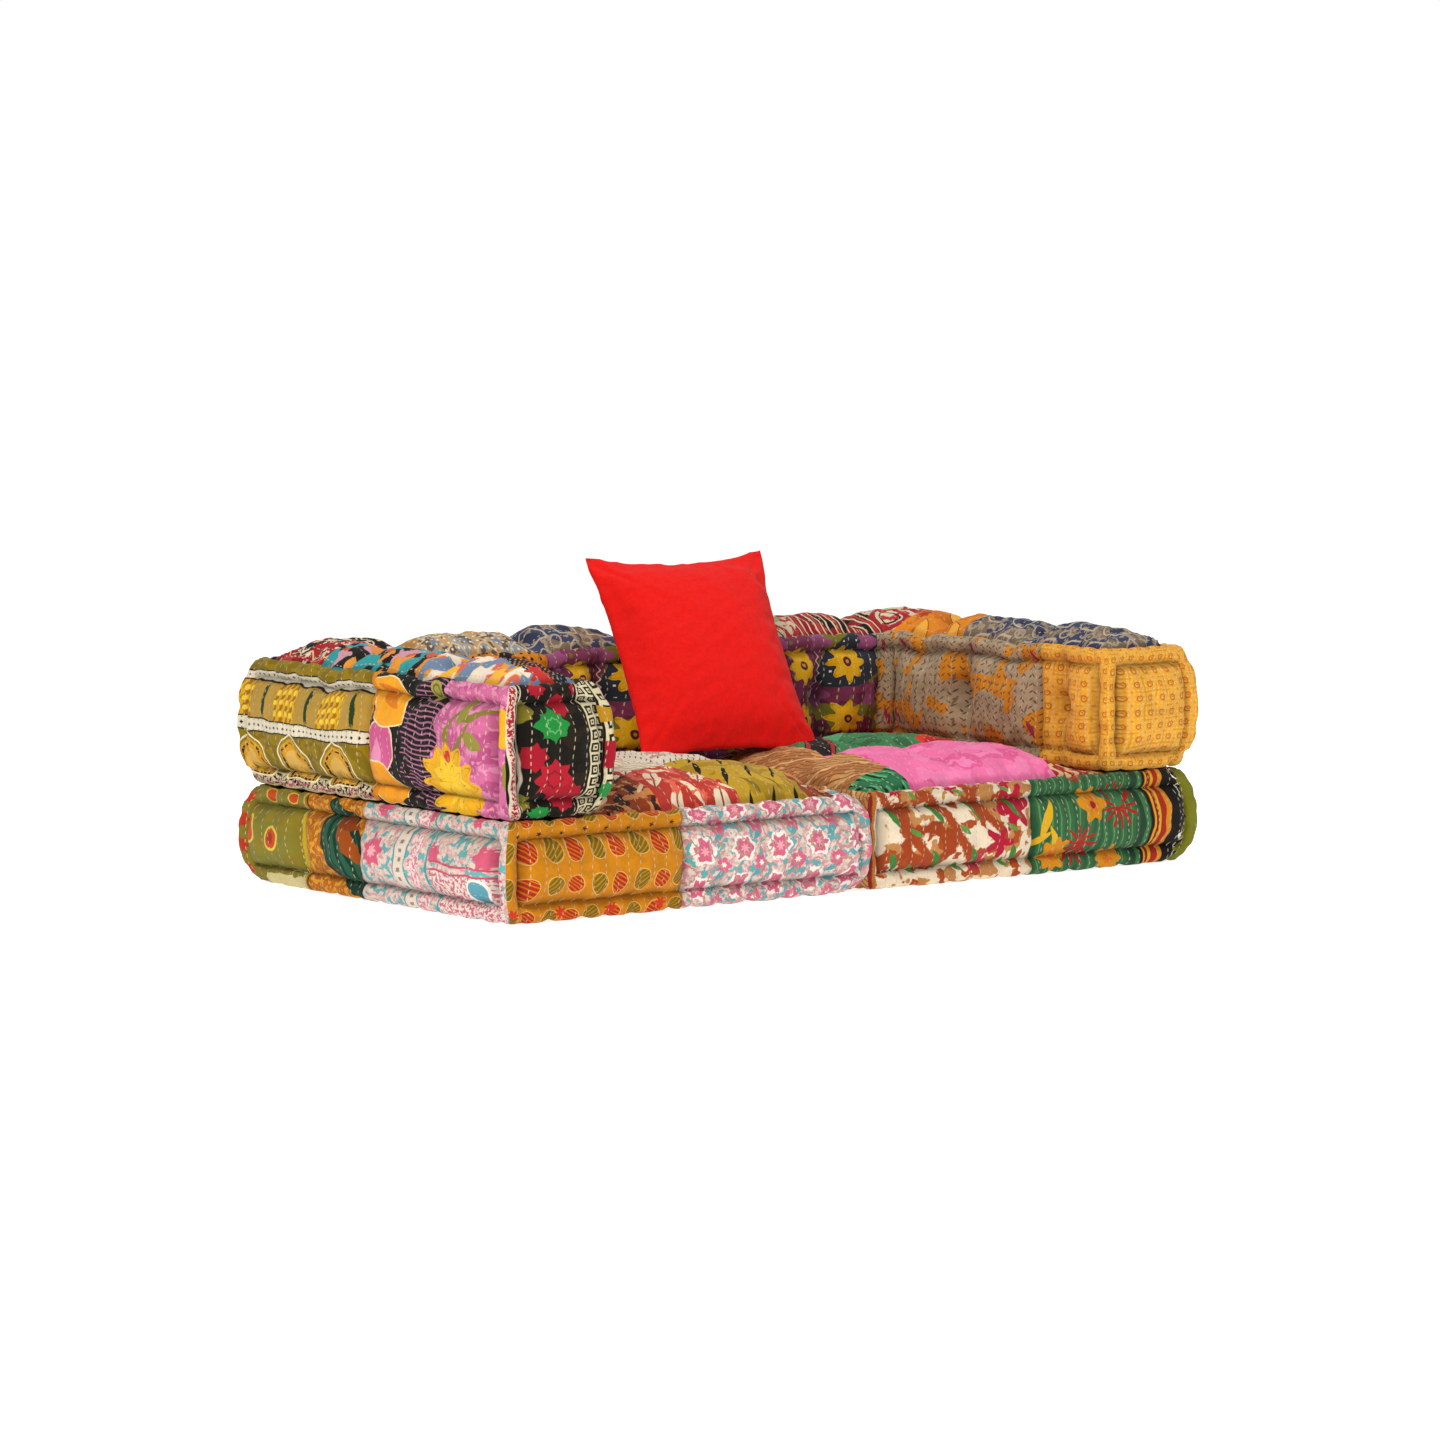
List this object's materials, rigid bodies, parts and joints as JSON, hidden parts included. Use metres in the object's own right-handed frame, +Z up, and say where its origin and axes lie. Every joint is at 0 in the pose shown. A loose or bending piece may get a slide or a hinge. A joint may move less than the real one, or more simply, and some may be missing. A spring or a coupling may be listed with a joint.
{
  "type": "modular pouf sofa",
  "caption": "Low floor sofa of square quilted seat cushions, L-shaped arm and back bolsters with sewn roll edges and tufts, and a loose scatter cushion.",
  "frame": {"origin": "middle of the bounding box, on the floor under the sofa", "axes": "+X along the sofa, to the right as seen from the front; the open front faces -Y; +Z up"},
  "size_m": [1.424, 0.76, 0.5001],
  "materials": {
    "seat_patchwork": "quilted cotton patchwork with rows of running stitch",
    "seat_underside": "plain cotton underside",
    "bolster_patchwork": "quilted cotton patchwork with rows of running stitch",
    "bolster_underside": "plain cotton underside",
    "pillow_cotton": "plain woven red cotton",
    "cotton_filling": "soft fibre filling",
    "tuft_cord": "twisted cotton cord"
  },
  "bodies": {
    "seat_left": {"seat_left_top_panel": "seat_patchwork", "seat_left_side_band": "seat_patchwork", "seat_left_bottom_panel": "seat_underside", "seat_left_filling": "cotton_filling", "seat_left_tuft_ties": "tuft_cord"},
    "seat_right": {"seat_right_top_panel": "seat_patchwork", "seat_right_side_band": "seat_patchwork", "seat_right_bottom_panel": "seat_underside", "seat_right_filling": "cotton_filling", "seat_right_tuft_ties": "tuft_cord"},
    "bolster_left": {"bolster_left_arm_top": "bolster_patchwork", "bolster_left_back_top": "bolster_patchwork", "bolster_left_arm_band": "bolster_patchwork", "bolster_left_back_band": "bolster_patchwork", "bolster_left_arm_base": "bolster_underside", "bolster_left_back_base": "bolster_underside", "bolster_left_filling": "cotton_filling", "bolster_left_tuft_ties": "tuft_cord"},
    "bolster_right": {"bolster_right_arm_top": "bolster_patchwork", "bolster_right_back_top": "bolster_patchwork", "bolster_right_arm_band": "bolster_patchwork", "bolster_right_back_band": "bolster_patchwork", "bolster_right_arm_base": "bolster_underside", "bolster_right_back_base": "bolster_underside", "bolster_right_filling": "cotton_filling", "bolster_right_tuft_ties": "tuft_cord"},
    "pillow": {"pillow_front_panel": "pillow_cotton", "pillow_back_panel": "pillow_cotton", "pillow_filling": "cotton_filling"}
  },
  "joints": [
    {"name": "seat_right_apart", "type": "slide", "parent": "seat_left", "child": "seat_right", "axis": [1, 0, 0], "range_m": [0, 0.4]},
    {"name": "bolster_left_lift", "type": "slide", "parent": "seat_left", "child": "bolster_left", "axis": [0, 0.7071, 0.7071], "range_m": [0, 0.3]},
    {"name": "bolster_right_lift", "type": "slide", "parent": "seat_right", "child": "bolster_right", "axis": [0, 0.7071, 0.7071], "range_m": [0, 0.3]},
    {"name": "pillow_lift", "type": "slide", "parent": "seat_left", "child": "pillow", "axis": [0, 0, 1], "range_m": [0, 0.25]}
  ]
}
